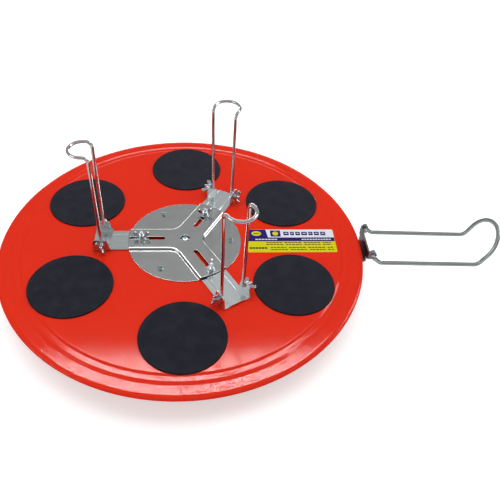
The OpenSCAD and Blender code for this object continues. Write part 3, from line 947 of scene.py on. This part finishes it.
def make_handle():
    run, climb = polar(1.0, LOOP_TILT)
    tilt = Vector((run, 0, climb))
    knee = Vector((KNEE[0], -HANDLE_HALF, KNEE[1]))
    rise = knee + tilt * LOOP_STRAIGHT
    half = rounded(
        [(0, -STUB_Y, 0), (0, -HANDLE_HALF, 0), (JOG[0], -HANDLE_HALF, JOG[1]), knee, rise],
        [STUB_BEND, KNEE_BEND, KNEE_BEND],
        10,
    )
    loop = []
    for x, y in arc((0, 0), HANDLE_HALF, -90, 90, 40)[1:-1]:
        loop.append(Vector((rise.x, y, rise.z)) + tilt * x)
    other = [Vector((p.x, -p.y, p.z)) for p in reversed(half)]
    bm = bmesh.new()
    sweep(bm, half + loop + other, HANDLE_R, 24)
    pivot = Vector(JOINTS["handle_fold"]["pos_m"])
    obj = new_object("handle_skin", bm, [MAT["wire"]], Matrix.Translation(pivot), angle=60)
    adopt(obj, "handle", "zinc_steel", "handle")


def make_bracket():
    """A bent steel strap: under the deck, up behind its rim, with two ears for the handle."""
    bm = bmesh.new()
    pivot = Vector(JOINTS["handle_fold"]["pos_m"]) / MM
    z0 = DECK_TOP
    bend = BRACKET_T + 1.0
    strap_z = z0 + STRAP_LOW
    # strap and its bend into the web, as a section in x and z pulled across y
    side = [(STRAP_START, strap_z), (WEB_X + BRACKET_T - bend, strap_z)]
    side += arc((WEB_X + BRACKET_T - bend, strap_z + bend), bend, -90, 0, 6)[1:]
    side += [(WEB_X + BRACKET_T, z0 + EAR_LOW + WEB_LAP), (WEB_X, z0 + EAR_LOW + WEB_LAP)]
    side += arc((WEB_X + BRACKET_T - bend, strap_z + bend), bend - BRACKET_T, 0, -90, 6)
    side += [(STRAP_START, strap_z + BRACKET_T)]
    lay = Matrix(((1, 0, 0, 0), (0, 0, 1, -WEB_LOW_HALF), (0, 1, 0, 0), (0, 0, 0, 1)))
    slab(bm, side, 2 * WEB_LOW_HALF, lay)
    # upper web, then the two ears with their bends
    ear_y = WEB_HALF - bend
    stand = Matrix(((0, 0, 1, WEB_X), (1, 0, 0, 0), (0, 1, 0, z0), (0, 0, 0, 1)))
    slab(bm, [(-ear_y, EAR_LOW), (ear_y, EAR_LOW), (ear_y, WEB_TOP), (-ear_y, WEB_TOP)], BRACKET_T, stand)
    for side_sign in (1, -1):
        curve = arc((0, 0), bend, -90, 0, 6)
        curve += arc((0, 0), bend - BRACKET_T, 0, -90, 6)
        # the bend runs up z: its section lies in x and y
        section = [(WEB_X + bend + y, side_sign * (ear_y + x)) for x, y in curve]
        slab(bm, section, WEB_TOP - EAR_LOW, Matrix.Translation((0, 0, z0 + EAR_LOW)))
        px, pz = pivot.x, pivot.z - z0
        outline = [(WEB_X + bend, EAR_LOW), (px - 1.0, EAR_LOW)]
        outline += arc((px, pz), EAR_REACH - px, -80, 35, 12)
        outline += arc((px - 0.5, EAR_TOP - 3.0), 3.0, 25, 95, 6)
        outline += [(WEB_X + bend, EAR_TOP - 1.2)]
        y_low = WEB_HALF - BRACKET_T if side_sign > 0 else -WEB_HALF
        lay = Matrix(((1, 0, 0, 0), (0, 0, 1, y_low), (0, 1, 0, z0), (0, 0, 0, 1)))
        slab(bm, outline, BRACKET_T, lay)
    obj = new_object("bracket_skin", bm, [MAT["strip"]])
    bevel(obj, 0.35, 2, 50)
    bake(obj)
    adopt(obj, "base", "zinc_steel", "handle_bracket")


# ---------------------------------------------------------------- carried-over CAD nodes

CAD_LOOKS = {
    "red": ["base_pan"],
    "rubber": ["foot_ring"],
    "zinc": ["hub", "spindle", "retaining_washer", "rivet_1", "rivet_2"],
    "bearing": ["upper_race", "lower_race", "balls"],
    "brass": ["ball_cage"],
}


def dress_cad():
    for look, names in CAD_LOOKS.items():
        for name in names:
            mesh = frame["nodes"][name].data
            mesh.materials.clear()
            mesh.materials.append(MAT[look])


# ---------------------------------------------------------------- stage, light and camera


# how much the floor glows to the camera, and how bright the room is in matt shading
FLOOR_GLOW = 0.45
WORLD_SOFT = 0.42
# height of the view direction and the brightness there, from low to high
WORLD_MIRROR = (0.2, 0.75, 0.22, 0.5)


def make_floor():
    bm = bmesh.new()
    size, thick = 6000, 1.0
    outline = [(-size, -size), (size, -size), (size, size), (-size, size)]
    slab(bm, outline, thick, Matrix.Translation((0, 0, -thick)))
    s = Shader("floor", roughness=0.9, specular_ior_level=0.1)
    rays = s.add("LightPath").outputs
    pale = s.mix(s.noise(3, 2), (0.9, 0.9, 0.9, 1), (0.93, 0.93, 0.93, 1))
    s.set(base_color=s.mix(rays["Is Glossy Ray"], pale, (0.7, 0.7, 0.7, 1)))
    glow = s.add("Math", {0: rays["Is Camera Ray"], 1: FLOOR_GLOW}, operation="MULTIPLY").outputs[0]
    s.set(emission_color=(1, 1, 1, 1), emission_strength=glow)
    floor = new_object("floor", bm, [s.mat])


TOP_Z = 2.0
# the glints hang a little lower, so that no two lights share a plane
GLINT_Z = 1.98
# bare metal that the big overhead glint would burn out
BARE_METAL = ("handle_", "bracket_", "ear_nut_", "upright_", "plate_s", "arm_")


def area_light(name, at, aim, width, height, power, matt=True, shiny=True):
    """A soft box, which may be left out of matt shading or out of shiny reflections."""
    data = bpy.data.lights.new(name, "AREA")
    data.shape = "RECTANGLE"
    data.size, data.size_y = width, height
    data.energy = power
    obj = bpy.data.objects.new(name, data)
    obj.location = at
    obj.rotation_mode = "QUATERNION"
    obj.rotation_quaternion = (Vector(aim) - Vector(at)).to_track_quat("-Z", "Y")
    obj.visible_diffuse = matt
    obj.visible_glossy = shiny
    bpy.context.scene.collection.objects.link(obj)
    return obj


def link_light(light, state, starts):
    """Makes one light fall only on (INCLUDE) or never on (EXCLUDE) pieces whose names start as given."""
    linked = bpy.data.collections.new(light.name + "_linked")
    for obj in bpy.data.objects:
        if obj.name.startswith(starts):
            linked.objects.link(obj)
    for member in linked.collection_objects:
        member.light_linking.link_state = state
    light.light_linking.receiver_collection = linked


def make_light():
    area_light("top_box", (0.0, 0.35, TOP_Z), (0.0, 0.35, 0.0), 2.6, 1.66, 26, shiny=False)
    glint = area_light("top_glint", (0.0, 0.8, GLINT_Z), (0.0, 0.8, 0.0), 1.8, 0.62, 72, matt=False)
    link_light(glint, "EXCLUDE", BARE_METAL)
    area_light("left_box", (-2.2, -0.8, 1.1), (0, 0, 0), 1.4, 1.2, 10)
    area_light("right_box", (2.2, 0.4, 1.3), (0.1, 0, 0), 1.2, 1.2, 8)
    glint = area_light("back_glint", (0.0, 2.6, 0.45), (0, 0, 0), 3.0, 0.6, 22, matt=False)
    link_light(glint, "EXCLUDE", ("handle_",))
    glint = area_light("right_glint", (2.1, 0.9, 1.5), (0, 0, 0), 0.5, 1.1, 14, matt=False)
    link_light(glint, "EXCLUDE", ("arm_", "handle_"))
    # two lights for the slopes of the pressed plate alone
    slope_lights = (("edge_glint", 0.0, 0.15, 2.6, 38), ("side_glint", -1.75, 0.85, 0.7, 14))
    for name, x, y, width, power in slope_lights:
        edge = area_light(name, (x, y, GLINT_Z), (x, y, 0.0), width, 0.5, power, matt=False)
        link_light(edge, "INCLUDE", ("plate_skin",))
    world = bpy.data.worlds.new("studio")
    bpy.context.scene.world = world
    world.use_nodes = True
    tree = world.node_tree
    tree.nodes.clear()
    out = tree.nodes.new("ShaderNodeOutputWorld")
    rays = tree.nodes.new("ShaderNodeLightPath")
    soft = tree.nodes.new("ShaderNodeBackground")
    soft.inputs["Color"].default_value = (1, 1, 1, 1)
    soft.inputs["Strength"].default_value = WORLD_SOFT
    # in shiny surfaces the room is darker, above all near the horizon
    mirror = tree.nodes.new("ShaderNodeBackground")
    mirror.inputs["Color"].default_value = (1, 1, 1, 1)
    where = tree.nodes.new("ShaderNodeTexCoord")
    split = tree.nodes.new("ShaderNodeSeparateXYZ")
    rise = tree.nodes.new("ShaderNodeMapRange")
    for key, value in zip(("From Min", "From Max", "To Min", "To Max"), WORLD_MIRROR):
        rise.inputs[key].default_value = value
    tree.links.new(where.outputs["Generated"], split.inputs[0])
    tree.links.new(split.outputs["Z"], rise.inputs["Value"])
    tree.links.new(rise.outputs["Result"], mirror.inputs["Strength"])
    mix = tree.nodes.new("ShaderNodeMixShader")
    tree.links.new(rays.outputs["Is Glossy Ray"], mix.inputs[0])
    tree.links.new(soft.outputs[0], mix.inputs[1])
    tree.links.new(mirror.outputs[0], mix.inputs[2])
    tree.links.new(mix.outputs[0], out.inputs["Surface"])


CAM_AIM = Vector((82.8, -17.1, DECK_TOP)) * MM
CAM_DISTANCE = 0.7445
CAM_ELEVATION = 44.2
CAM_TURN = 6.9
CAM_ROLL = 4.64
CAM_LENS = 41.93


def make_camera():
    data = bpy.data.cameras.new("camera")
    data.lens = CAM_LENS
    data.sensor_width = 36
    cam = bpy.data.objects.new("camera", data)
    turn, lift = math.radians(CAM_TURN), math.radians(CAM_ELEVATION)
    look = Vector((math.sin(turn) * math.cos(lift), math.cos(turn) * math.cos(lift), -math.sin(lift)))
    cam.rotation_mode = "QUATERNION"
    cam.rotation_quaternion = look.to_track_quat("-Z", "Y") @ Matrix.Rotation(
        math.radians(CAM_ROLL), 3, "Z"
    ).to_quaternion()
    cam.location = CAM_AIM - look * CAM_DISTANCE
    bpy.context.scene.collection.objects.link(cam)
    bpy.context.scene.camera = cam


make_deck()
for pad in PADS:
    make_pad(pad)
make_label()
make_centre_plate()
make_screws()
for arm in ARMS:
    make_arm(arm)
    make_clamp(arm)
    make_nuts(arm)
    make_upright(arm)
make_handle()
make_bracket()
dress_cad()
make_floor()
make_light()
make_camera()
bpy.context.scene.view_settings.view_transform = "Standard"
